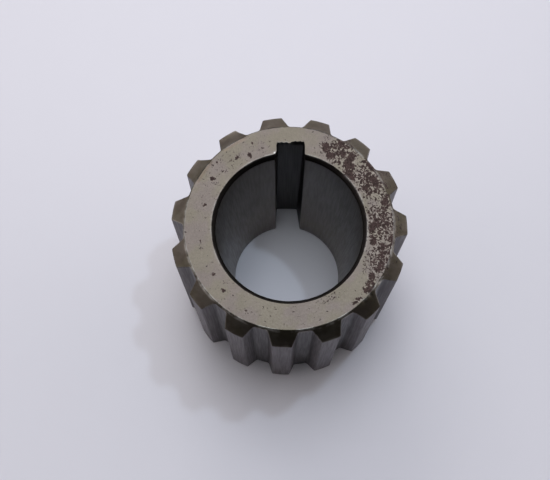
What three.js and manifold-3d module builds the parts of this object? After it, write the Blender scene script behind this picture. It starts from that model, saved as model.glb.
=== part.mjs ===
// Toothed coupling hub with a keyed 1:10 taper bore. Millimetres, +Z up.
// The origin is on the bore's axis, in the plane of the small-bore end face, which the hub stands on.
// +Z runs up the axis to the large-bore end, and the keyway is on the +Y side.

import * as THREE from 'three';
import { mergeVertices } from 'three/addons/utils/BufferGeometryUtils.js';
import Module from 'manifold-3d';

// Body
const LENGTH = 36.0;
const END_FACE_DIAMETER = 31.2;
const TOOTH_END_DROP = 1.6; // how far the cone on each end falls between the end face and the tooth tip

// Teeth
const TEETH = 15;
const TIP_DIAMETER = 35.5;
const ROOT_DIAMETER = 31.6;
const TIP_LAND_WIDTH = 2.93;
const TOOTH_ROOT_WIDTH = 4.5;

// Bore: its diameters are in the planes of the end faces, before the mouths are chamfered
const BORE_LARGE_DIAMETER = 22.1;
const BORE_TAPER = 1 / 10; // change of diameter over length
const LARGE_MOUTH_CHAMFER = { radial: 0.5, axial: 0.85 };
const SMALL_MOUTH_CHAMFER = { radial: 0.3, axial: 0.3 };

// Keyway: cut parallel to the axis, through both ends
const KEYWAY_WIDTH = 4.1;
const KEYWAY_DEPTH = 2.8; // below the bore wall at mid length
const KEYWAY_ANGLE = Math.PI / 2;
const GAP_BEFORE_KEYWAY = THREE.MathUtils.degToRad(2.9); // the nearest tooth gap lags the keyway by this

// Fineness of the curved surfaces
const BORE_SEGMENTS = 120;
const TIP_SEGMENTS = 4;
const ROOT_SEGMENTS = 6;
const OVERRUN = 5; // how far a cutter passes what it cuts

const endRadius = END_FACE_DIAMETER / 2;
const tipRadius = TIP_DIAMETER / 2;
const rootRadius = ROOT_DIAMETER / 2;
const boreRadiusAt = (z) => (BORE_LARGE_DIAMETER - BORE_TAPER * (LENGTH - z)) / 2;
const keywayFloorRadius = boreRadiusAt(LENGTH / 2) + KEYWAY_DEPTH;

const wasm = await Module();
wasm.setup();

function solidOf(geometry) {
  geometry.deleteAttribute('normal');
  geometry.deleteAttribute('uv');
  const merged = mergeVertices(geometry, 1e-5);
  return new wasm.Manifold(new wasm.Mesh({
    numProp: 3,
    vertProperties: new Float32Array(merged.attributes.position.array),
    triVerts: new Uint32Array(merged.index.array),
  }));
}

function geometryOf(solid) {
  const mesh = solid.getMesh();
  const geometry = new THREE.BufferGeometry();
  geometry.setAttribute('position', new THREE.BufferAttribute(mesh.vertProperties, 3));
  geometry.setIndex(new THREE.BufferAttribute(mesh.triVerts, 1));
  geometry.computeVertexNormals();
  return geometry;
}

// A ring turned about Z, from its closed [radius, height] section.
function turned(section) {
  const profile = [...section, section[0]].map(([radius, height]) => new THREE.Vector2(radius, height));
  return solidOf(new THREE.LatheGeometry(profile, BORE_SEGMENTS).rotateX(Math.PI / 2));
}

// The turned blank: taper bore, chamfered mouths, and a cone on each end that the tooth ends lie in.
function blank() {
  const coneSlope = TOOTH_END_DROP / (tipRadius - endRadius);
  const outerRadius = tipRadius + OVERRUN;
  const outerDrop = coneSlope * (outerRadius - endRadius);
  const largeMouthZ = LENGTH - LARGE_MOUTH_CHAMFER.axial;
  return turned([
    [boreRadiusAt(0) + SMALL_MOUTH_CHAMFER.radial, 0],
    [endRadius, 0],
    [outerRadius, outerDrop],
    [outerRadius, LENGTH - outerDrop],
    [endRadius, LENGTH],
    [boreRadiusAt(LENGTH) + LARGE_MOUTH_CHAMFER.radial, LENGTH],
    [boreRadiusAt(largeMouthZ), largeMouthZ],
    [boreRadiusAt(SMALL_MOUTH_CHAMFER.axial), SMALL_MOUTH_CHAMFER.axial],
  ]);
}

// The outline of all the teeth, with straight flanks between the tip lands and the roots.
function toothOutline() {
  const pitch = 2 * Math.PI / TEETH;
  const tipHalf = Math.asin(TIP_LAND_WIDTH / 2 / tipRadius);
  const rootHalf = Math.asin(TOOTH_ROOT_WIDTH / 2 / rootRadius);
  const firstTooth = KEYWAY_ANGLE - GAP_BEFORE_KEYWAY + pitch / 2;
  const points = [];
  const addArc = (radius, from, to, segments) => {
    for (let i = 0; i <= segments; i++) {
      const angle = from + (to - from) * i / segments;
      points.push(new THREE.Vector2(radius * Math.cos(angle), radius * Math.sin(angle)));
    }
  };
  for (let tooth = 0; tooth < TEETH; tooth++) {
    const centre = firstTooth + tooth * pitch;
    addArc(tipRadius, centre - tipHalf, centre + tipHalf, TIP_SEGMENTS);
    addArc(rootRadius, centre + rootHalf, centre + pitch - rootHalf, ROOT_SEGMENTS);
  }
  return new THREE.Shape(points);
}

function teeth() {
  const depth = LENGTH + 2 * OVERRUN;
  const bar = new THREE.ExtrudeGeometry(toothOutline(), { depth, bevelEnabled: false, curveSegments: 1 });
  return solidOf(bar.translate(0, 0, -OVERRUN));
}

function keyway() {
  const slot = new THREE.BoxGeometry(keywayFloorRadius, KEYWAY_WIDTH, LENGTH + 2 * OVERRUN);
  return solidOf(slot.translate(keywayFloorRadius / 2, 0, LENGTH / 2).rotateZ(KEYWAY_ANGLE));
}

function toothedHub() {
  const steel = new THREE.MeshStandardMaterial({ color: 0x8a837c, roughness: 0.42, metalness: 1.0 });
  const hub = new THREE.Mesh(geometryOf(blank().intersect(teeth()).subtract(keyway())), steel);
  hub.name = 'toothed_hub';
  return hub;
}

const coupling = new THREE.Group();
coupling.name = 'toothed_coupling_hub';
coupling.add(toothedHub());

export default coupling;
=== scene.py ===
"""Toothed coupling hub: the visual model, its steel and its studio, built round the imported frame."""

import math

import bmesh
import bpy
import numpy as np
from bpy.props import FloatProperty, FloatVectorProperty, IntProperty, PointerProperty
from bpy.types import Operator, Panel, PropertyGroup
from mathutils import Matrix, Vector


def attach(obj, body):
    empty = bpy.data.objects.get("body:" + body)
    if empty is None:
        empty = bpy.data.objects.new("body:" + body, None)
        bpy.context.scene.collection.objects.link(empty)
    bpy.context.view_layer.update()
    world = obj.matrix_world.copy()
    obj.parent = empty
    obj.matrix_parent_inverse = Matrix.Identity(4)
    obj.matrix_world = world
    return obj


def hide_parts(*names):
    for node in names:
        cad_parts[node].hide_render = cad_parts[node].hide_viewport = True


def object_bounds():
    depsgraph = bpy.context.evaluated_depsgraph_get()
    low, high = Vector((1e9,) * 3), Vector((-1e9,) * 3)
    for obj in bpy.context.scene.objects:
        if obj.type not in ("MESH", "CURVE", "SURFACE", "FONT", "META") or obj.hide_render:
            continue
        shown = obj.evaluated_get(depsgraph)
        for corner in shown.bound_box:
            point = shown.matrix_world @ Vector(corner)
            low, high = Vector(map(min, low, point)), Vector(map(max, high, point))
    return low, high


bl_info = {
    "name": "Toothed coupling hub",
    "version": (1, 0, 0),
    "blender": (4, 5, 0),
    "location": "3D View > Sidebar > Hub",
    "description": "Builds a toothed coupling hub with a keyed taper bore, its worn steel and a small studio",
    "category": "Object",
}

MM = 0.001
NODE = "toothed_hub"
BODY = "root"
PIECE = "toothed_hub_steel"

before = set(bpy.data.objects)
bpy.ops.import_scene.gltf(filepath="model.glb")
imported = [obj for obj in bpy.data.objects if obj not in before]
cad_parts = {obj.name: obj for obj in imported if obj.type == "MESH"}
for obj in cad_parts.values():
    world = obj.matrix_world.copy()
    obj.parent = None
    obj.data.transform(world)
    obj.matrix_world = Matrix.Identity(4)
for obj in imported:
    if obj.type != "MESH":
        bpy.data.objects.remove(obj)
cad_low, cad_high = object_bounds()
HEIGHT = cad_high.z - cad_low.z

# Which surface a face of the hub belongs to, as the material index of the finished mesh.
END_FACE, BORE, KEYWAY, CHAMFER, TEETH, TOOTH_ENDS = range(6)


# ---------------------------------------------------------------- settings


def length(name, description, default):
    """A size in metres, given here in millimetres."""
    return FloatProperty(name=name, description=description, default=default * MM, unit="LENGTH", precision=5)


def tint(name, description, default):
    """A colour, given here as an sRGB hex value."""
    return FloatVectorProperty(
        name=name, description=description, default=linear(default), subtype="COLOR", size=3)


def linear(hex_colour):
    """An sRGB hex value as linear red, green and blue."""
    parts = [int(hex_colour[i:i + 2], 16) / 255 for i in (1, 3, 5)]
    return tuple(c / 12.92 if c <= 0.04045 else ((c + 0.055) / 1.055) ** 2.4 for c in parts)


class HubSizes(PropertyGroup):
    teeth: IntProperty(name="Teeth", description="How many teeth stand round the hub", default=15, min=3)
    tip_diameter: length("Tip diameter", "Across the tooth tips", 35.5)
    root_diameter: length("Root diameter", "Across the bottoms of the tooth gaps", 31.6)
    tip_land: length("Tip land", "Width of the flat on a tooth's tip", 2.93)
    tooth_root: length("Tooth root width", "Width of a tooth where it leaves the root", 4.5)
    end_face_diameter: length("End face diameter", "Outer edge of the flat end faces", 31.2)
    tooth_end_drop: length("Tooth end drop", "How far the end cone falls to the tooth tip", 1.6)
    tip_corner: length("Tip corner", "How far back the tip corners start to round", 0.16)
    root_corner: length("Root corner", "How far out the root fillets start", 0.34)
    edge_round: length("Edge round", "Rounding of the edges of the tooth ends", 0.12)
    mouth_edge_round: length("Mouth edge round", "Rounding where bore and keyway meet the end faces", 0.05)
    face_edge_round: length("Face edge round", "Rounding of the end faces' outer edges", 0.08)
    bore_diameter: length("Bore diameter", "Bore in the plane of the large-bore end face", 22.1)
    bore_taper: FloatProperty(
        name="Bore taper", description="Change of bore diameter over length", default=0.1)
    large_chamfer_width: length("Large chamfer width", "Chamfer of the large bore mouth, across", 0.5)
    large_chamfer_depth: length("Large chamfer depth", "Chamfer of the large bore mouth, along", 0.85)
    small_chamfer: length("Small chamfer", "Chamfer of the small bore mouth", 0.3)
    keyway_width: length("Keyway width", "Across the keyway", 4.1)
    keyway_depth: length("Keyway depth", "Below the bore wall at mid length", 2.8)
    keyway_lean: length("Keyway lean", "How much further out the floor is at the top", 0.13)
    keyway_fillet: length("Keyway fillet", "Rounding of the keyway's floor corners", 0.38)
    left_break: length("Left corner break", "Broken corner where the bore meets the keyway's -X wall", 0.46)
    right_break: length("Right corner break", "Broken corner where the bore meets the keyway's +X wall", 0.16)
    keyway_right_extra: length("Keyway right extra", "How much further out the +X wall was cut", 0.15)
    keyway_floor_drift: length(
        "Keyway floor drift", "How far in the +X wall's foot drifts by the small bore", 0.5)
    gap_before_keyway: FloatProperty(
        name="Gap before keyway", description="Angle by which the nearest tooth gap lags the keyway",
        default=math.radians(2.9), unit="ROTATION")
    face_shift_x: length("Face shift X", "How far off centre the top end cone was turned, along X", -0.04)
    face_shift_y: length("Face shift Y", "How far off centre the top end cone was turned, along Y", 0.14)


class SteelFinish(PropertyGroup):
    face: tint("End face steel", "Dull ground steel of the end faces", "#776f67")
    teeth: tint("Tooth steel", "Hobbed steel of the teeth, greyed by oil", "#423a3d")
    tooth_ends: tint("Tooth end steel", "Turned steel of the tooth ends, browned by oil", "#464139")
    bore: tint("Bore steel", "Reamed steel of the bore, dull with oil", "#6c645d")
    # Painted shade: the mouth chamfer's colour is near-black for the shade it lies in.
    chamfer: tint("Chamfer steel", "Steel of the bore's mouth, black with oil", "#2d2a29")
    keyway: tint("Keyway steel", "Broached steel of the keyway, black with oil", "#3c3b3b")
    rust: tint("Corrosion", "Old brown-black corrosion in the pits", "#302322")
    # Painted highlight in part: this colour paints the bright edges, both rubbed ones and painted glints.
    bright: tint("Worn edge", "Steel polished bright on the worn edges", "#e6e2dc")


class StudioSettings(PropertyGroup):
    paper: tint("Paper", "The pale paper that the hub stands on", "#dad7dd")
    floor_size: length("Floor size", "Side of the square floor", 3000.0)
    lens: FloatProperty(name="Lens", description="Focal length on a 36 mm wide sensor, in mm", default=71.13)
    camera_place: FloatVectorProperty(
        name="Camera place", description="From the middle of the hub's top face", subtype="XYZ",
        unit="LENGTH", default=(-1.57 * MM, -40.72 * MM, 156.1 * MM))
    camera_tilt: FloatProperty(
        name="Camera tilt", description="How far the camera is tipped up from straight down",
        default=math.radians(13.93), unit="ROTATION")
    camera_turn: FloatProperty(
        name="Camera turn", description="How far the camera is turned about the upright",
        default=math.radians(0.78), unit="ROTATION")


# ---------------------------------------------------------------- mesh tools


def smoothstep(low, high, value):
    t = np.clip((value - low) / (high - low), 0, 1)
    return t * t * (3 - 2 * t)


def corner(start, tip, end, steps):
    """The points of a rounded corner from start to end, pulled towards tip, without start itself."""
    t = np.linspace(0, 1, steps + 1)[1:, None]
    return (1 - t) ** 2 * start + 2 * t * (1 - t) * tip + t ** 2 * end


def straight(start, end, steps):
    """Evenly spaced points from start to end, without start itself."""
    t = np.linspace(0, 1, steps + 1)[1:, None]
    return start + (end - start) * t


def on_circle(radius, angle):
    return np.stack([radius * np.cos(angle), radius * np.sin(angle)], -1)


def outward(points, closed):
    """Unit normals of an outline that runs counter-clockwise, pointing to its right."""
    if closed:
        along = np.roll(points, -1, 0) - np.roll(points, 1, 0)
    else:
        along = np.gradient(points, axis=0)
    along /= np.linalg.norm(along, axis=1)[:, None]
    return np.stack([along[:, 1], -along[:, 0]], -1)


def strip_mesh(name, rows, zones, wear_and_glint, closed):
    """A mesh of quads between rows of points, with each face's surface and each point's edge brightness, for
    rubbing and painted glints.
    """
    count = len(rows[0])
    points = np.concatenate(rows)
    mesh = bpy.data.meshes.new(name)
    across = np.arange(count if closed else count - 1)
    beside = (across + 1) % count
    faces = [
        np.stack([low + across, low + count + across, low + count + beside, low + beside], -1)
        for low in range(0, (len(rows) - 1) * count, count)
    ]
    mesh.from_pydata(points.tolist(), [], np.concatenate(faces).tolist())
    zone = mesh.attributes.new("zone", "INT", "FACE")
    zone.data.foreach_set("value", np.concatenate(zones).astype(np.int32))
    mesh.attributes.new("edge_wear_and_glint", "FLOAT", "POINT").data.foreach_set("value", np.concatenate(wear_and_glint))
    return mesh


# ---------------------------------------------------------------- shape of the hub


def tooth_outline(s):
    """One tooth pitch seen along the axis, counter-clockwise, with the tooth's middle on +X."""
    tip, root = s.tip_diameter / 2, s.root_diameter / 2
    tip_half = math.asin(s.tip_land / 2 / tip)
    root_half = math.asin(s.tooth_root / 2 / root)
    tip_corner, root_corner = on_circle(tip, tip_half), on_circle(root, root_half)
    flank = (root_corner - tip_corner) / np.linalg.norm(root_corner - tip_corner)
    land_end = tip_half - s.tip_corner / tip
    root_start = root_half + s.root_corner / root
    half = np.concatenate([
        on_circle(tip, np.linspace(0, land_end, 6)),
        corner(on_circle(tip, land_end), tip_corner, tip_corner + flank * s.tip_corner, 5),
        straight(tip_corner + flank * s.tip_corner, root_corner - flank * s.root_corner, 5),
        corner(root_corner - flank * s.root_corner, root_corner, on_circle(root, root_start), 6),
        on_circle(root, np.linspace(root_start, math.pi / s.teeth, 6)[1:]),
    ])
    return np.concatenate([(half * (1, -1))[:0:-1], half])


def quarter(steps):
    """How far a quarter round has come, across and along, from 0 to 1."""
    turn = np.linspace(0, math.pi / 2, steps + 1)
    return np.sin(turn), 1 - np.cos(turn)


def tooth_sector(s):
    """The outside of one tooth pitch, from the top end face's edge over the tooth to the bottom one's."""
    outline = tooth_outline(s)
    normals = outward(outline, closed=False)
    radius = np.hypot(*outline.T)
    heading = outline / radius[:, None]
    normals[[0, -1]] = heading[[0, -1]]
    end = s.end_face_diameter / 2
    slope = s.tooth_end_drop / (s.tip_diameter / 2 - end)

    def flat(xy, z):
        return np.column_stack([xy, np.broadcast_to(z, len(xy))])

    def end_rows():
        """The cone of the upper end, as (points across, drop below the face, edge brightness for rubbing and
        painted glints).
        """
        e, f = s.edge_round, s.face_edge_round
        rows = []
        for t in np.linspace(0, 1, 5):
            across, drop = end + f * (2 * t - 1), slope * f * t * t
            rows.append((heading * across, drop, 1.0))
        inner = outline - normals * e
        inner_radius = np.hypot(*inner.T)
        start = heading * (end + f)
        for t in (0.12, 0.3, 0.5, 0.7, 0.88, 1.0):
            spot = start + (inner - start) * t
            rows.append((spot, slope * (np.hypot(*spot.T) - end), 0.15 if t < 1 else 0.6))
        sharp = slope * (radius - end)
        for t in (0.25, 0.5, 0.75):
            spot = (1 - t) ** 2 * inner + (1 - (1 - t) ** 2) * outline
            drop = (1 - t) ** 2 * slope * (inner_radius - end) + 2 * t * (1 - t) * sharp + t * t * (sharp + e)
            rows.append((spot, drop, 1.0))
        rows.append((outline, sharp + e, 0.6))
        return rows

    ends = end_rows()
    rows = [flat(xy, HEIGHT - drop) for xy, drop, _ in ends]
    wear_and_glint = [np.full(len(outline), w) for _, _, w in ends]
    high, low = rows[-1][:, 2], HEIGHT - rows[-1][:, 2]
    for t in (0.012, *np.linspace(0.06, 0.94, 12), 0.988):
        rows.append(flat(outline, high + (low - high) * t))
        wear_and_glint.append(np.zeros(len(outline)))
    rows += [flat(xy, drop) for xy, drop, _ in reversed(ends)]
    wear_and_glint += wear_and_glint[:len(ends)][::-1]
    zones = [np.full(len(outline) - 1, TEETH) for _ in rows[1:]]
    for row in (*range(len(ends) - 2), *range(len(zones) - len(ends) + 2, len(zones))):
        zones[row][:] = TOOTH_ENDS
    return strip_mesh("tooth_pitch", rows, zones, wear_and_glint, closed=False)


def bore_radius(s, z):
    """The bore with its chamfered mouths, at a height above the small-bore face."""
    wall = (s.bore_diameter - s.bore_taper * (HEIGHT - z)) / 2
    mouth = HEIGHT - s.large_chamfer_depth
    if z > mouth:
        foot = (s.bore_diameter - s.bore_taper * s.large_chamfer_depth) / 2
        rim = s.bore_diameter / 2 + s.large_chamfer_width
        return foot + (rim - foot) * (z - mouth) / s.large_chamfer_depth
    if z < s.small_chamfer:
        return wall + s.small_chamfer - z
    return wall


FLOOR_STEPS, FILLET_STEPS, WALL_STEPS, BREAK_STEPS, ARC_STEPS = 9, 6, 8, 5, 8
KEYWAY_STEPS = FLOOR_STEPS + FILLET_STEPS + WALL_STEPS + BREAK_STEPS + ARC_STEPS


def keyway_side(s, z, half, mouth_half, corner_break, reach):
    """Half the outline of a keyway on +X, from its floor's middle to the angle reach on the bore.

    half is half the width at the floor, and mouth_half half the width where the wall meets the bore.
    """
    fillet, radius = s.keyway_fillet, bore_radius(s, z)
    middle_bore = (s.bore_diameter - s.bore_taper * HEIGHT / 2) / 2
    floor = middle_bore + s.keyway_depth + s.keyway_lean * (2 * z / HEIGHT - 1)
    meet = np.array([math.sqrt(radius ** 2 - mouth_half ** 2), mouth_half])
    on_wall = meet + (corner_break, 0)
    on_bore_angle = math.asin(mouth_half / radius) + corner_break / radius
    return np.concatenate([
        [(floor, 0)],
        straight(np.array((floor, 0)), np.array((floor, half - fillet)), FLOOR_STEPS),
        corner(np.array((floor, half - fillet)), np.array((floor, half)), np.array((floor - fillet, half)),
               FILLET_STEPS),
        straight(np.array((floor - fillet, half)), on_wall, WALL_STEPS),
        corner(on_wall, (on_wall + 2 * meet + on_circle(radius, on_bore_angle)) / 4,
               on_circle(radius, on_bore_angle), BREAK_STEPS),
        on_circle(radius, np.linspace(on_bore_angle, reach, ARC_STEPS + 1)[1:]),
    ])


def inner_outline(s, z, angles, middle):
    """The bore and keyway at one height, a point for each column of the outside."""
    points = on_circle(bore_radius(s, z), angles)
    reach = [abs(angles[(middle + side * KEYWAY_STEPS) % len(angles)] - math.pi / 2) for side in (-1, 1)]
    half, deep = s.keyway_width / 2, 1 - z / HEIGHT
    wide = half + s.keyway_right_extra
    right = keyway_side(s, z, wide - s.keyway_floor_drift * deep, wide, s.right_break, reach[0]) * (1, -1)
    left_break = s.left_break * (0.5 + 0.5 * smoothstep(HEIGHT - 1.6 * MM, HEIGHT - 0.4 * MM, z))
    left = keyway_side(s, z, half, half, left_break, reach[1])
    key = np.concatenate([right[::-1], left[1:]])
    turned = np.stack([-key[:, 1], key[:, 0]], -1)
    columns = np.arange(middle - KEYWAY_STEPS, middle + KEYWAY_STEPS + 1) % len(angles)
    points[columns] = turned
    return points


def ragged_edge(x):
    """How far the broach tore the keyway's floor back at its top edge, along the floor."""
    step = 0.08 + 0.17 * smoothstep(-0.1, 0.35, x / MM)
    burr = -0.17 * np.exp(-((x / MM - 0.05) / 0.2) ** 2)
    ripple = 0.06 * np.sin(x / MM * 9.0 + 0.6) + 0.035 * np.sin(x / MM * 17.0)
    return (step + burr + ripple) * MM


def core(s, angles):
    """The end faces, bore and keyway, from the bottom end face's edge round to the top one's."""
    middle = int(np.argmin(abs(angles - math.pi / 2)))
    edge = on_circle(s.end_face_diameter / 2 - s.face_edge_round, angles)
    e = s.mouth_edge_round
    in_keyway = np.zeros(len(angles), bool)
    floor_reach = FLOOR_STEPS + FILLET_STEPS + WALL_STEPS
    in_keyway[np.arange(middle - floor_reach, middle + floor_reach + 1) % len(angles)] = True
    on_floor = np.zeros(len(angles))
    on_floor[np.arange(middle - FLOOR_STEPS - 3, middle + FLOOR_STEPS + 4) % len(angles)] = 1

    def level(z, flare, torn=0.0):
        """The inner outline at height z, moved into the steel by flare, with its floor torn back."""
        points = inner_outline(s, z, angles, middle)
        moved = points + outward(points, closed=True) * flare
        moved[:, 1] += on_floor * torn * ragged_edge(points[:, 0])
        return np.column_stack([moved, np.full(len(moved), z)])

    rows, wear_and_glint, zones = [], [], []

    def add(row, worn_and_glinting, wall):
        """A row, its edge brightness for rubbing and painted glints, and whether the faces before it are on
        the bore's wall.
        """
        rows.append(row)
        wear_and_glint.append(np.full(len(row), worn_and_glinting))
        if len(rows) > 1:
            at_mouth = rows[-2][0, 2] > mouth - 0.01 * MM
            kind = np.full(len(row), (CHAMFER if at_mouth else BORE) if wall else END_FACE)
            if wall:
                kind[in_keyway & np.roll(in_keyway, -1)] = KEYWAY
            zones.append(kind)

    mouth = HEIGHT - s.large_chamfer_depth
    across, along = quarter(4)
    face_spread = (0, 0.02, *np.linspace(0.08, 0.92, 18), 0.985)
    low_edge = level(0.0, e)
    rim_low = np.column_stack([edge, np.zeros(len(edge))])
    for t in face_spread:
        add(rim_low + (low_edge - rim_low) * t, 0.5 if t in (0, 0.985) else 0.0, False)
    for step in range(4, -1, -1):
        add(level(e * (1 - across[step]), e * along[step]), 1.0, step < 4)
    for z in (s.small_chamfer - 0.02 * MM, s.small_chamfer + 0.02 * MM):
        add(level(z, 0), 0.0, True)
    for z in np.linspace(1.2 * MM, mouth - 1.2 * MM, 14):
        add(level(z, 0), 0.0, True)
    for z, torn in ((mouth - 0.3 * MM, 0), (mouth - 0.04 * MM, 0.1), (mouth + 0.04 * MM, 0.12),
                    (HEIGHT - 0.55 * MM, 0.4), (HEIGHT - 0.3 * MM, 0.8)):
        add(level(z, 0, torn), 0.0, True)
    for step in range(5):
        add(level(HEIGHT - e * (1 - across[step]), e * along[step], 1.0), 1.0, True)
    top_edge = rows[-1]
    rim_top = np.column_stack([edge, np.full(len(edge), HEIGHT)])
    for t in reversed(face_spread):
        add(rim_top + (top_edge - rim_top) * t, 0.5 if t in (0, 0.985) else 0.0, False)
    return strip_mesh("core", rows, zones, wear_and_glint, closed=True)


# ---------------------------------------------------------------- node trees


def add_node(tree, kind, settings=None, inputs=None):
    """Adds a node, sets its attributes, and gives each input a value or another node's output."""
    node = tree.nodes.new(kind)
    for key, value in (settings or {}).items():
        setattr(node, key, value)
    for key, value in (inputs or {}).items():
        if isinstance(value, bpy.types.NodeSocket):
            tree.links.new(value, node.inputs[key])
        else:
            node.inputs[key].default_value = value
    return node


TREE_INPUTS = {
    "Core": "Geometry", "Tooth Pitch": "Object", "Teeth": "Int", "First Tooth": "Float",
    "Weld Distance": "Float", "Tooth Steel": "Material", "Tooth End Steel": "Material"}


def tooth_ring_tree():
    """Repeats the tooth pitch round the axis, welds it to the core and gives the teeth their steel."""
    tree = bpy.data.node_groups.new("tooth_ring", "GeometryNodeTree")
    for name, kind in TREE_INPUTS.items():
        tree.interface.new_socket(name, in_out="INPUT", socket_type="NodeSocket" + kind)
    tree.interface.new_socket("Hub", in_out="OUTPUT", socket_type="NodeSocketGeometry")
    given = add_node(tree, "NodeGroupInput").outputs
    pitch = add_node(tree, "GeometryNodeObjectInfo", {"transform_space": "ORIGINAL"},
                     {"Object": given["Tooth Pitch"]})
    places = add_node(tree, "GeometryNodePoints", inputs={"Count": given["Teeth"]})
    index = add_node(tree, "GeometryNodeInputIndex")
    step = add_node(tree, "ShaderNodeMath", {"operation": "DIVIDE"}, {0: 2 * math.pi, 1: given["Teeth"]})
    turn = add_node(tree, "ShaderNodeMath", {"operation": "MULTIPLY_ADD"},
                    {0: index.outputs[0], 1: step.outputs[0], 2: given["First Tooth"]})
    heading = add_node(tree, "ShaderNodeCombineXYZ", inputs={"Z": turn.outputs[0]})
    ring = add_node(tree, "GeometryNodeInstanceOnPoints", inputs={
        "Points": places.outputs[0], "Instance": pitch.outputs["Geometry"], "Rotation": heading.outputs[0]})
    teeth = add_node(tree, "GeometryNodeRealizeInstances", inputs={0: ring.outputs[0]})
    both = add_node(tree, "GeometryNodeJoinGeometry", inputs={0: teeth.outputs[0]})
    tree.links.new(given["Core"], both.inputs[0])
    welded = add_node(tree, "GeometryNodeMergeByDistance",
                      inputs={"Geometry": both.outputs[0], "Distance": given["Weld Distance"]})
    smooth = add_node(tree, "GeometryNodeSetShadeSmooth", inputs={0: welded.outputs[0]})
    zone = add_node(tree, "GeometryNodeInputNamedAttribute", {"data_type": "INT"}, {"Name": "zone"})
    steel = add_node(tree, "GeometryNodeRealizeInstances", inputs={0: smooth.outputs[0]})
    for surface, given_steel in ((TEETH, "Tooth Steel"), (TOOTH_ENDS, "Tooth End Steel")):
        chosen = add_node(tree, "FunctionNodeCompare", {"data_type": "INT", "operation": "EQUAL"},
                          {"A": zone.outputs[0], "B": surface})
        steel = add_node(tree, "GeometryNodeSetMaterial", inputs={
            "Geometry": steel.outputs[0], "Selection": chosen.outputs[0], "Material": given[given_steel]})
    add_node(tree, "NodeGroupOutput", inputs={0: steel.outputs[0]})
    return tree


def grown(host, tree, **values):
    """The host's mesh with the tree's result applied, its inputs set by identifier before it is evaluated."""
    modifier = host.modifiers.new("grow", "NODES")
    modifier.node_group = tree
    for item in tree.interface.items_tree:
        if item.in_out == "INPUT" and item.name in values:
            modifier[item.identifier] = values[item.name]
    host.update_tag()
    bpy.context.view_layer.update()
    evaluated = host.evaluated_get(bpy.context.evaluated_depsgraph_get())
    mesh = bpy.data.meshes.new_from_object(evaluated)
    host.modifiers.remove(modifier)
    return mesh


# ---------------------------------------------------------------- rubbed edges, painted glints, corrosion and painted shade

# Corrosion patches on the top end face: angle from +X in degrees, distance from the axis in mm,
# half width round the face in mm, half width along the radius in mm, and strength.
PATCHES = (
    (57, 14.3, 3.2, 3.0, 0.49),
    (32, 14.4, 4.2, 3.2, 0.50),
    (4, 13.9, 4.2, 3.2, 0.49),
    (-17, 14.2, 4.0, 2.4, 0.46),
    (-34, 14.6, 2.2, 0.8, 0.48),
    (-60, 12.2, 2.0, 0.6, 0.30),
    (66, 13.6, 1.1, 1.0, 0.72),
    (61, 12.9, 1.0, 0.9, 0.68),
    (60, 15.4, 1.2, 0.5, 0.66),
    (38, 15.4, 1.6, 0.6, 0.70),
    (17, 14.9, 1.8, 0.9, 0.66),
    (-7, 15.1, 2.0, 0.7, 0.64),
    (50, 14.4, 0.8, 1.1, 0.78),
    (48, 13.3, 1.1, 1.0, 0.80),
    (43, 12.2, 1.4, 0.9, 0.76),
    (30, 14.6, 1.3, 1.0, 0.74),
    (28, 12.9, 1.2, 0.5, 0.72),
    (1, 12.3, 1.2, 0.9, 0.74),
    (3, 13.2, 1.4, 0.6, 0.68),
    (-9, 12.7, 1.0, 0.6, 0.70),
    (-12, 14.2, 0.9, 0.5, 0.72),
    (-24, 14.6, 1.3, 0.6, 0.75),
    (-31, 14.2, 0.9, 0.6, 0.74),
    (-38, 14.9, 1.1, 0.6, 0.70),
    (-47, 14.9, 0.9, 0.4, 0.70),
    (135, 13.4, 9.0, 2.4, 0.17),
    (215, 13.4, 9.0, 2.2, 0.09),
    (265, 13.4, 7.0, 2.2, 0.10),
    (244, 14.2, 0.8, 0.6, 0.35),
    (225.6, 13.6, 0.30, 0.32, 0.85),
    (213.7, 13.2, 0.28, 0.25, 0.65),
    (190, 13.3, 0.25, 0.2, 0.55),
    (183.7, 15.6, 0.3, 0.25, 0.6),
    (166, 13.1, 0.3, 0.28, 0.7),
    (148, 13.8, 0.36, 0.34, 0.95),
    (138, 14.8, 0.28, 0.28, 0.6),
    (127, 13.4, 0.38, 0.28, 0.7),
    (118.7, 12.7, 0.30, 0.55, 0.95),
    (113.7, 14.3, 0.28, 0.3, 0.6),
)

# Nicks in the top end face's outer edge, dented and painted bright as glints: angle in degrees, half width in
# mm.
NICKS = ((-22, 0.28), (-31, 0.5), (-40, 0.25), (-45, 0.3))

# Painted glints: spots on the top end face painted bright where its edges catch the light: angle in degrees,
# distance from the axis and size in mm.
PAINTED_GLINT_SPOTS = ((101.3, 11.75, 0.16), (-23, 15.55, 0.22), (-44, 15.5, 0.18), (-37, 15.5, 0.15))

# Teeth whose end cone was cut deeper, so that it reaches further into the face: angles in degrees.
DEEP_CUT_TEETH = (123.1, 147.1)
DEEP_CUT_REACH = 0.37 * MM

NICK_DEPTH = 0.10 * MM
EDGE_BAND = 0.3 * MM


def mesh_points(mesh):
    points = np.empty(len(mesh.vertices) * 3)
    mesh.vertices.foreach_get("co", points)
    return points.reshape(-1, 3)


def polar(points):
    return np.hypot(points[:, 0], points[:, 1]), np.degrees(np.arctan2(points[:, 1], points[:, 0]))


def turned(angle, middle):
    """The signed turn from middle to angle, in degrees."""
    return (angle - middle + 180) % 360 - 180


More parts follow.
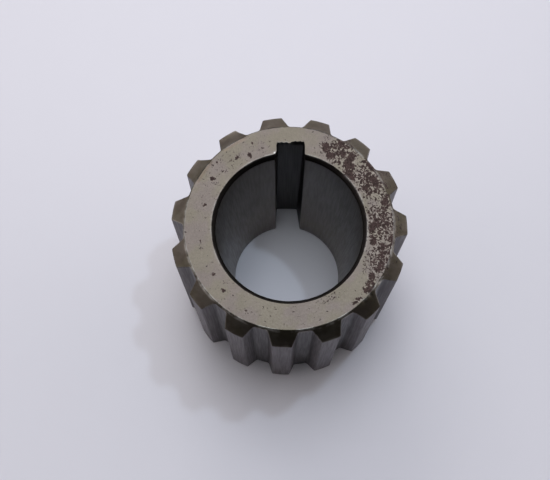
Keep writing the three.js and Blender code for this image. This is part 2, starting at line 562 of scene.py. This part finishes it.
def shift_top_cone(mesh, s):
    """Moves the top end cone off centre, as it was turned, without moving the teeth's outline."""
    points = mesh_points(mesh)
    radius, _ = polar(points)
    end, root, rim = s.end_face_diameter / 2, s.root_diameter / 2, s.bore_diameter / 2 + s.large_chamfer_width
    shift = np.array((s.face_shift_x, s.face_shift_y))
    slope = s.tooth_end_drop / (s.tip_diameter / 2 - end)
    near = smoothstep(rim, end, radius) * (1 - smoothstep(end, root - s.edge_round, radius))
    height = smoothstep(HEIGHT - 4 * MM, HEIGHT - 2 * MM, points[:, 2])
    lean = (points[:, :2] @ shift) / np.maximum(radius, MM)
    points[:, 2] += height * np.where(radius > end, slope * (1 - near) * lean, 0)
    points[:, 2] = np.minimum(points[:, 2], HEIGHT)
    points[:, :2] += (height * near)[:, None] * shift
    mesh.vertices.foreach_set("co", points.ravel())
    mesh.update()


def age(mesh, s):
    """Writes each point's corrosion and painted shade, dents the top end face's edge where it was knocked,
    and sets where its edges are painted bright, for rubbing and as painted glints.
    """
    points = mesh_points(mesh)
    radius, angle = polar(points)
    on_top = smoothstep(HEIGHT - 1.9 * MM, HEIGHT - 1.0 * MM, points[:, 2])
    outside = smoothstep(s.bore_diameter / 2 - 0.1 * MM, s.bore_diameter / 2, radius)
    corrosion = np.zeros(len(points))
    for middle, distance, wide, deep, strength in PATCHES:
        round_face = np.radians(turned(angle, middle)) * radius / (wide * MM)
        along_radius = (radius - distance * MM) / (deep * MM)
        spread = strength * np.exp(-(round_face ** 2 + along_radius ** 2))
        corrosion = np.maximum(corrosion, spread)
    corrosion *= on_top * outside
    wear_and_glint = np.empty(len(points), np.float32)
    mesh.attributes["edge_wear_and_glint"].data.foreach_get("value", wear_and_glint)
    end = s.end_face_diameter / 2
    at_edge = np.exp(-((radius - end) / EDGE_BAND) ** 2) * on_top
    # Each nick is dented, and painted bright as a glint.
    for middle, wide in NICKS:
        nick = np.exp(-(np.radians(turned(angle, middle)) * radius / (wide * MM)) ** 2) * at_edge
        points[:, 2] -= NICK_DEPTH * nick
        wear_and_glint = np.maximum(wear_and_glint, 2.0 * nick)
    # Painted highlights: the mouth's edge stays bright only away from the front, and the outer rim's edge
    # grows up to twice as bright towards the front.
    rim = s.bore_diameter / 2 + s.large_chamfer_width
    at_mouth = (abs(radius - rim) < EDGE_BAND) & (on_top > 0.99)
    wear_and_glint = np.where(at_mouth, wear_and_glint * smoothstep(-9 * MM, -2 * MM, points[:, 1]), wear_and_glint)
    at_rim = (abs(radius - end) < EDGE_BAND) & (on_top > 0.99)
    wear_and_glint = np.where(at_rim, wear_and_glint * (1 + smoothstep(2 * MM, -10 * MM, points[:, 1])), wear_and_glint)
    # Painted glints at the listed spots.
    for middle, distance, size in PAINTED_GLINT_SPOTS:
        gap = np.hypot(np.radians(turned(angle, middle)) * radius, radius - distance * MM)
        wear_and_glint = np.maximum(wear_and_glint, 4.0 * on_top * np.exp(-(gap / (size * MM)) ** 2))
    slope = s.tooth_end_drop / (s.tip_diameter / 2 - end)
    for middle in DEEP_CUT_TEETH:
        window = smoothstep(8.5, 5.0, abs(turned(angle, middle))) * on_top
        points[:, 2] -= slope * window * np.clip(radius - end + DEEP_CUT_REACH, 0, DEEP_CUT_REACH)
    mesh.vertices.foreach_set("co", points.ravel())
    mesh.attributes["edge_wear_and_glint"].data.foreach_set("value", wear_and_glint.astype(np.float32))
    # Painted shade: darker towards the roots of the tooth gaps below the top end, and darker up the upper
    # part of the bore.
    painted_shade = smoothstep(s.tip_diameter / 2 - 0.4 * MM, s.root_diameter / 2, radius)
    in_gap = radius > s.root_diameter / 2 - 0.1 * MM
    painted_shade *= in_gap * smoothstep(HEIGHT, HEIGHT - 1.5 * MM, points[:, 2])
    upper_bore = (radius < s.bore_diameter / 2) * smoothstep(0.05 * HEIGHT, 0.6 * HEIGHT, points[:, 2])
    painted_shade = np.maximum(painted_shade, 0.7 * upper_bore)
    for name, share in (("painted_shade", painted_shade), ("corrosion", corrosion)):
        mesh.attributes.new(name, "FLOAT", "POINT").data.foreach_set("value", share.astype(np.float32))
    mesh.update()


# ---------------------------------------------------------------- materials


MATH, NOISE, RANGE, MIX = "ShaderNodeMath", "ShaderNodeTexNoise", "ShaderNodeMapRange", "ShaderNodeMix"
MULTIPLY, MULTIPLY_ADD = {"operation": "MULTIPLY"}, {"operation": "MULTIPLY_ADD"}
SMOOTH, COLOUR = {"interpolation_type": "SMOOTHSTEP"}, {"data_type": "RGBA"}
# The sockets of a mix of two colours.
SHARE, FIRST, SECOND, MIXED = 0, 6, 7, 2

# The steel's patterns of noise: grain size in mm, detail, roughness and distortion.
PATTERNS = {
    "clouds": (6.0, 3, 0.6, 0.0),
    "grain": (0.22, 3, 0.6, 0.0),
    "marks": (1.0, 2, 0.55, 0.0),
    "films": (3.5, 2, 0.5, 0.0),
    "pits": (0.36, 3, 0.56, 0.9),
    "clusters": (0.9, 2, 0.5, 0.0),
    "breaks": (2.5, 3, 0.6, 0.0),
}

# What each film of oil leaves of red, green and blue, and how much of the films shows.
OLIVE_FILM, PURPLE_FILM, FILM_SHARE = (1.00, 1.00, 0.86), (1.03, 0.96, 1.03), 0.5
# How dark the painted shade is beside the lit steel, and how much of it covers.
PAINTED_SHADE_DARKNESS, PAINTED_SHADE_SHARE = 0.3, 0.8
# Where a pit starts and where it is fully eaten, and how much of the pitted colour covers.
PIT_START, PIT_FULL, PIT_SHARE = 0.645, 0.70, 0.94
# How much paler the steel is round the pits, and the rust at their rims, than it is elsewhere.
PALE_SHADE, RUST_CORE_SHADE = 1.7, 0.7
# How far the tool marks spread the roughness, and what a pit adds to it and takes from the metal.
ROUGH_SPREAD, PIT_ROUGH, PIT_DULL = 0.05, 0.3, 0.92
BUMP_STRENGTH, BUMP_HEIGHT = 0.25, 0.03 * MM


def shaded(colour, *parts):
    """The colour times one factor, or times one each for red, green and blue, with full alpha."""
    parts = parts if len(parts) == 3 else parts * 3
    return (*(min(1, c * part) for c, part in zip(colour, parts)), 1)


def steel(name, colour, finish, roughness, streak, mottle, pits, wear_and_glint):
    """A machined steel surface.

    streak is the size in mm, along X, Y and Z, of the marks that the tool left. mottle is how much the tone
    varies, pits how readily corrosion takes hold, and the last argument how bright the edges are painted, for
    rubbing and as painted glints.
    """
    material = bpy.data.materials.new(name)
    material.use_nodes = True
    tree = material.node_tree
    tree.nodes.clear()
    where = add_node(tree, "ShaderNodeTexCoord").outputs["Object"]
    density, rubbed_and_glint, painted_shade = (
        add_node(tree, "ShaderNodeAttribute", {"attribute_name": written}).outputs["Fac"]
        for written in ("corrosion", "edge_wear_and_glint", "painted_shade"))
    pattern = {}
    for label, (size, detail, rough, distortion) in PATTERNS.items():
        stretch = streak if label == "marks" else (1, 1, 1)
        scaled = add_node(tree, "ShaderNodeMapping", inputs={
            "Vector": where, "Scale": tuple(1 / (size * MM * part) for part in stretch)})
        pattern[label] = add_node(tree, NOISE, inputs={
            "Vector": scaled.outputs[0], "Scale": 1.0, "Detail": detail, "Roughness": rough,
            "Distortion": distortion}).outputs["Fac"]

    # Tone: broad clouding of oil and handling, the tool's marks, and the finer grain of the cut surface.
    shade = 0.0
    for label, share in (("marks", 0.3), ("grain", 0.4), ("clouds", 0.3)):
        shade = add_node(tree, MATH, MULTIPLY_ADD, {0: pattern[label], 1: share, 2: shade}).outputs[0]
    tone = add_node(tree, RANGE, SMOOTH, {"Value": shade, "From Min": 0.36, "From Max": 0.64})
    base = add_node(tree, MIX, COLOUR, {
        SHARE: tone.outputs[0], FIRST: shaded(colour, 1 - mottle), SECOND: shaded(colour, 1 + mottle)})

    # Oil films: patches a few millimetres across that turn the steel a little olive or a little purple.
    film = add_node(tree, RANGE, SMOOTH, {"Value": pattern["films"], "From Min": 0.40, "From Max": 0.60})
    oiled = add_node(tree, MIX, COLOUR, {
        SHARE: film.outputs[0], FIRST: shaded(colour, *OLIVE_FILM), SECOND: shaded(colour, *PURPLE_FILM)})
    base = add_node(tree, MIX, COLOUR, {
        SHARE: FILM_SHARE, FIRST: base.outputs[MIXED], SECOND: oiled.outputs[MIXED]})
    # Painted shade: the colour is darkened in the tooth gaps and the upper bore.
    painted_shade_cover = add_node(tree, MATH, MULTIPLY, {0: painted_shade, 1: PAINTED_SHADE_SHARE})
    base = add_node(tree, MIX, COLOUR, {
        SHARE: painted_shade_cover.outputs[0], FIRST: base.outputs[MIXED], SECOND: shaded(colour, PAINTED_SHADE_DARKNESS)})

    # Corrosion: pits about half a millimetre across that crowd together where the density is high.
    chance = 0.0
    for source, share in ((pattern["clusters"], 0.26), (pattern["pits"], 0.74), (density, 0.48)):
        chance = add_node(tree, MATH, MULTIPLY_ADD, {0: source, 1: share, 2: chance}).outputs[0]
    eaten = add_node(tree, RANGE, SMOOTH, {
        "Value": chance, "From Min": PIT_START - pits, "From Max": PIT_FULL - pits}).outputs[0]
    # Painted highlight in part: the steel is lifted paler where corrosion is dense, for the patchiness of the
    # corroded face and for the brighter light on its +X side.
    pale = add_node(tree, RANGE, SMOOTH, {
        "Value": density, "From Min": 0.2, "From Max": 0.5, "To Max": 0.5})
    base = add_node(tree, MIX, COLOUR, {
        SHARE: pale.outputs[0], FIRST: base.outputs[MIXED], SECOND: shaded(colour, PALE_SHADE)})
    depth = add_node(tree, MATH, MULTIPLY_ADD, {0: density, 1: 0.2, 2: pattern["pits"]})
    deep = add_node(tree, RANGE, SMOOTH, {"Value": depth.outputs[0], "From Min": 0.58, "From Max": 0.72})
    pitted = add_node(tree, MIX, COLOUR, {
        SHARE: deep.outputs[0], FIRST: shaded(finish.rust, PALE_SHADE),
        SECOND: shaded(finish.rust, RUST_CORE_SHADE)})
    cover = add_node(tree, MATH, MULTIPLY, {0: eaten, 1: PIT_SHARE})
    base = add_node(tree, MIX, COLOUR, {
        SHARE: cover.outputs[0], FIRST: base.outputs[MIXED], SECOND: pitted.outputs[MIXED]})

    # Edges painted bright, partly for rubbing and partly as painted glints, broken up so that the line comes
    # and goes.
    broken = add_node(tree, RANGE, SMOOTH, {"Value": pattern["breaks"], "From Min": 0.40, "From Max": 0.62})
    shining = add_node(tree, MATH, MULTIPLY, {0: rubbed_and_glint, 1: broken.outputs[0]})
    bright = add_node(tree, MATH, {**MULTIPLY, "use_clamp": True}, {0: shining.outputs[0], 1: wear_and_glint})
    base = add_node(tree, MIX, COLOUR, {
        SHARE: bright.outputs[0], FIRST: base.outputs[MIXED], SECOND: shaded(finish.bright, 1)})

    # A pit is rougher than the steel, hardly metallic, and sunk below it.
    spread = add_node(tree, RANGE, SMOOTH, {
        "Value": pattern["marks"], "From Min": 0.3, "From Max": 0.7,
        "To Min": roughness - ROUGH_SPREAD, "To Max": roughness + ROUGH_SPREAD})
    rough = add_node(tree, MATH, MULTIPLY_ADD, {0: eaten, 1: PIT_ROUGH, 2: spread.outputs[0]})
    metal = add_node(tree, MATH, MULTIPLY_ADD, {0: eaten, 1: -PIT_DULL, 2: 1.0})
    shine = add_node(tree, RANGE, SMOOTH, {"Value": eaten, "To Min": 0.5, "To Max": 0.12})
    relief = 0.0
    for source, share in ((pattern["marks"], 0.5), (pattern["grain"], 0.25), (eaten, -0.8)):
        relief = add_node(tree, MATH, MULTIPLY_ADD, {0: source, 1: share, 2: relief}).outputs[0]
    bump = add_node(tree, "ShaderNodeBump", inputs={
        "Strength": BUMP_STRENGTH, "Distance": BUMP_HEIGHT, "Height": relief})
    shader = add_node(tree, "ShaderNodeBsdfPrincipled", inputs={
        "Base Color": base.outputs[MIXED], "Roughness": rough.outputs[0], "Metallic": metal.outputs[0],
        "Specular IOR Level": shine.outputs[0], "Normal": bump.outputs[0]})
    add_node(tree, "ShaderNodeOutputMaterial", inputs={"Surface": shader.outputs[0]})
    return material


def hub_materials(finish):
    """The hub's six surfaces, in the order of their material indices."""
    return [
        # Carbon steel, faced and lightly ground: a warm dull grey, with corrosion where damp sat on it.
        steel("ground_carbon_steel_end_face", finish.face, finish, 0.60, (0.25, 0.25, 0.25), 0.21, 0.0, 0.22),
        # The same steel reamed to a taper: darker and duller, with faint marks up the wall.
        steel("reamed_carbon_steel_bore", finish.bore, finish, 0.35, (0.3, 0.3, 6), 0.14, -0.04, 0.22),
        # Broached slot: long straight scores from the broach, black with old oil.
        steel("broached_carbon_steel_keyway", finish.keyway, finish, 0.5, (0.2, 0.2, 10), 0.08, -0.06, 0.15),
        # Turned mouth chamfer: coloured near-black as painted shade.
        steel("shade_darkened_steel_chamfer", finish.chamfer, finish, 0.5, (0.4, 0.4, 0.4), 0.10, -0.06, 0.12),
        # Hobbed teeth: scores along the tooth and a grey film of oil.
        steel("hobbed_carbon_steel_teeth", finish.teeth, finish, 0.45, (0.25, 0.25, 8), 0.07, -0.03, 0.10),
        # Turned tooth ends: smooth, matt and browner than the flanks.
        steel("turned_carbon_steel_tooth_ends", finish.tooth_ends, finish, 0.45, (0.4, 0.4, 0.4),
              0.06, -0.02, 0.15),
    ]


def paper_material(colour):
    """Matt white copier paper: cool, soft and without shine, with a very faint formation cloud."""
    material = bpy.data.materials.new("uncoated_white_paper")
    material.use_nodes = True
    tree = material.node_tree
    shader = tree.nodes["Principled BSDF"]
    shader.inputs["Roughness"].default_value = 0.9
    shader.inputs["Specular IOR Level"].default_value = 0.2
    where = add_node(tree, "ShaderNodeTexCoord").outputs["Object"]
    cloud = add_node(tree, NOISE, inputs={"Vector": where, "Scale": 1 / (6 * MM), "Detail": 3.0})
    shade = add_node(tree, MIX, COLOUR, {
        SHARE: cloud.outputs["Fac"], FIRST: shaded(colour, 0.985), SECOND: shaded(colour, 1)})
    tree.links.new(shade.outputs[MIXED], shader.inputs["Base Color"])
    return material


# ---------------------------------------------------------------- operators


class HUB_OT_build_hub(Operator):
    """Build the hub: a smooth, edge-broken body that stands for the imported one, in its six steels"""
    bl_idname = "hub.build_hub"
    bl_label = "Build hub"

    def execute(self, context):
        s, finish = context.scene.hub_sizes, context.scene.hub_finish
        pitch_angle = 2 * math.pi / s.teeth
        first = math.pi / 2 - s.gap_before_keyway + pitch_angle / 2 - pitch_angle * (s.teeth // 4 + 1)
        outline = tooth_outline(s)
        one = np.arctan2(outline[:, 1], outline[:, 0])[:-1]
        angles = np.concatenate([one + first + pitch_angle * tooth for tooth in range(s.teeth)])
        materials = hub_materials(finish)

        pitch = bpy.data.objects.new("tooth_pitch", tooth_sector(s))
        host = bpy.data.objects.new("core", core(s, angles))
        for part in (pitch, host):
            context.scene.collection.objects.link(part)
        for material in materials[:TEETH]:
            host.data.materials.append(material)
        zones = np.empty(len(host.data.polygons), np.int32)
        host.data.attributes["zone"].data.foreach_get("value", zones)
        host.data.polygons.foreach_set("material_index", zones)
        mesh = grown(host, tooth_ring_tree(), **{
            "Tooth Pitch": pitch, "Teeth": s.teeth, "First Tooth": first, "Weld Distance": 1e-6,
            "Tooth Steel": materials[TEETH], "Tooth End Steel": materials[TOOTH_ENDS]})
        for part in (pitch, host):
            bpy.data.objects.remove(part)
        shift_top_cone(mesh, s)
        age(mesh, s)
        check_closed(mesh)
        mesh.name = PIECE
        hub = bpy.data.objects.new(PIECE, mesh)
        context.scene.collection.objects.link(hub)
        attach(hub, BODY)
        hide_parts(NODE)
        return {"FINISHED"}


def check_closed(mesh):
    """Raises an error unless the mesh is closed and faces outwards."""
    shape = bmesh.new()
    shape.from_mesh(mesh)
    open_edges = sum(1 for edge in shape.edges if len(edge.link_faces) != 2)
    volume = shape.calc_volume(signed=True)
    shape.free()
    if open_edges or volume <= 0:
        raise RuntimeError(f"the hub has {open_edges} open edges and a volume of {volume}")


def aim(thing, target):
    thing.rotation_euler = (thing.location - target).to_track_quat("Z", "Y").to_euler()


def softbox(name, place, target, side, power, colour):
    """A square area light that isn't seen itself."""
    light = bpy.data.lights.new(name, "AREA")
    light.shape = "RECTANGLE"
    light.size = light.size_y = side
    light.energy = power
    light.color = colour
    lamp = bpy.data.objects.new(name, light)
    lamp.location = place
    bpy.context.scene.collection.objects.link(lamp)
    aim(lamp, target)
    lamp.visible_camera = False


# The room's light: how bright its band is over the dark, and the height and narrowness of the band.
ROOM_GLOW, ROOM_DARK, BAND_HEIGHT, BAND_FALL = 2.45, 0.03, 0.2, -9.0
ROOM_COLOUR = (1.0, 0.95, 0.96, 1)
BEHIND_HUB = (-0.18, 1.0, 0.0)

# The lamps: place, side and power in metres and watts, and colour.
LAMPS = {
    "lamp_high_back": ((0.0, 0.08, 0.38), 0.15, 0.38, (0.86, 0.92, 1.0)),
    "lamp_ceiling": ((0.079, 0.061, 0.362), 0.012, 0.17, (0.66, 0.82, 1.0)),
    "lamp_overhead": ((-0.02, 0.0, 0.40), 0.14, 0.22, (0.88, 0.96, 1.0)),
    "lamp_high_left": ((-0.06, 0.16, 0.20), 0.12, 0.115, (1.0, 0.99, 0.97)),
    "lamp_low_back": ((0.0, 0.30, 0.12), 0.20, 0.10, (1.0, 0.99, 0.97)),
}


def room_light(scene):
    """A dim room: paler overhead and behind the hub, nearly dark in front of it."""
    world = bpy.data.worlds.new("studio_room")
    scene.world = world
    world.use_nodes = True
    tree = world.node_tree
    tree.nodes.clear()
    where = add_node(tree, "ShaderNodeTexCoord").outputs["Generated"]
    parts = add_node(tree, "ShaderNodeSeparateXYZ", inputs={0: where}).outputs
    height = add_node(tree, MATH, {"operation": "SUBTRACT"}, {0: parts["Z"], 1: BAND_HEIGHT})
    square = add_node(tree, MATH, {"operation": "POWER"}, {0: height.outputs[0], 1: 2.0})
    fall = add_node(tree, MATH, MULTIPLY, {0: square.outputs[0], 1: BAND_FALL})
    band = add_node(tree, MATH, {"operation": "EXPONENT"}, {0: fall.outputs[0]})
    back = add_node(tree, "ShaderNodeVectorMath", {"operation": "DOT_PRODUCT"}, {0: where, 1: BEHIND_HUB})
    behind = add_node(tree, RANGE, SMOOTH, {
        "Value": back.outputs["Value"], "From Min": -0.80, "From Max": 0.20})
    glow_band = add_node(tree, MATH, MULTIPLY, {0: band.outputs[0], 1: behind.outputs[0]})
    level = add_node(tree, MATH, MULTIPLY_ADD, {0: glow_band.outputs[0], 1: ROOM_GLOW, 2: ROOM_DARK})
    glow = add_node(tree, "ShaderNodeBackground", inputs={"Color": ROOM_COLOUR, "Strength": level.outputs[0]})
    add_node(tree, "ShaderNodeOutputWorld", inputs={"Surface": glow.outputs[0]})


class HUB_OT_build_stage(Operator):
    """Build the stage: a pale paper floor, soft light from above and behind, and the camera"""
    bl_idname = "hub.build_stage"
    bl_label = "Build stage"

    def execute(self, context):
        scene, studio = context.scene, context.scene.hub_studio
        half = studio.floor_size / 2
        corners = [(-half, -half), (half, -half), (half, half), (-half, half)]
        mesh = bpy.data.meshes.new("paper_floor")
        mesh.from_pydata([(x, y, cad_low.z) for x, y in corners], [], [(0, 1, 2, 3)])
        mesh.materials.append(paper_material(tuple(studio.paper)))
        floor = bpy.data.objects.new("paper_floor", mesh)
        scene.collection.objects.link(floor)

        middle = (cad_low + cad_high) / 2
        room_light(scene)
        for name, (place, side, power, colour) in LAMPS.items():
            softbox(name, Vector(place), middle, side, power, colour)

        camera = bpy.data.cameras.new("camera")
        camera.sensor_width = 36.0
        camera.lens = studio.lens
        camera.clip_start, camera.clip_end = 0.01, 10
        eye = bpy.data.objects.new("camera", camera)
        eye.location = Vector((0.0, 0.0, cad_high.z)) + Vector(studio.camera_place)
        eye.rotation_euler = (studio.camera_tilt, 0, studio.camera_turn)
        scene.collection.objects.link(eye)
        scene.camera = eye
        scene.view_settings.view_transform = "Standard"
        return {"FINISHED"}


class HUB_PT_panel(Panel):
    """The hub's sizes, finish and studio, and the buttons that build them"""
    bl_idname = "HUB_PT_panel"
    bl_label = "Toothed coupling hub"
    bl_space_type = "VIEW_3D"
    bl_region_type = "UI"
    bl_category = "Hub"

    def draw(self, context):
        for group in (context.scene.hub_sizes, context.scene.hub_finish, context.scene.hub_studio):
            box = self.layout.box()
            for name in group.__annotations__:
                box.prop(group, name)
        for operator in OPERATORS:
            self.layout.operator(operator.bl_idname)


GROUPS = {"hub_sizes": HubSizes, "hub_finish": SteelFinish, "hub_studio": StudioSettings}
OPERATORS = (HUB_OT_build_hub, HUB_OT_build_stage)


def register():
    for cls in (*GROUPS.values(), *OPERATORS, HUB_PT_panel):
        bpy.utils.register_class(cls)
    for name, cls in GROUPS.items():
        setattr(bpy.types.Scene, name, PointerProperty(type=cls))


def unregister():
    for name in GROUPS:
        delattr(bpy.types.Scene, name)
    for cls in (HUB_PT_panel, *reversed(OPERATORS), *reversed(GROUPS.values())):
        bpy.utils.unregister_class(cls)


def main():
    register()
    bpy.ops.hub.build_hub()
    bpy.ops.hub.build_stage()


if __name__ == "__main__":
    main()
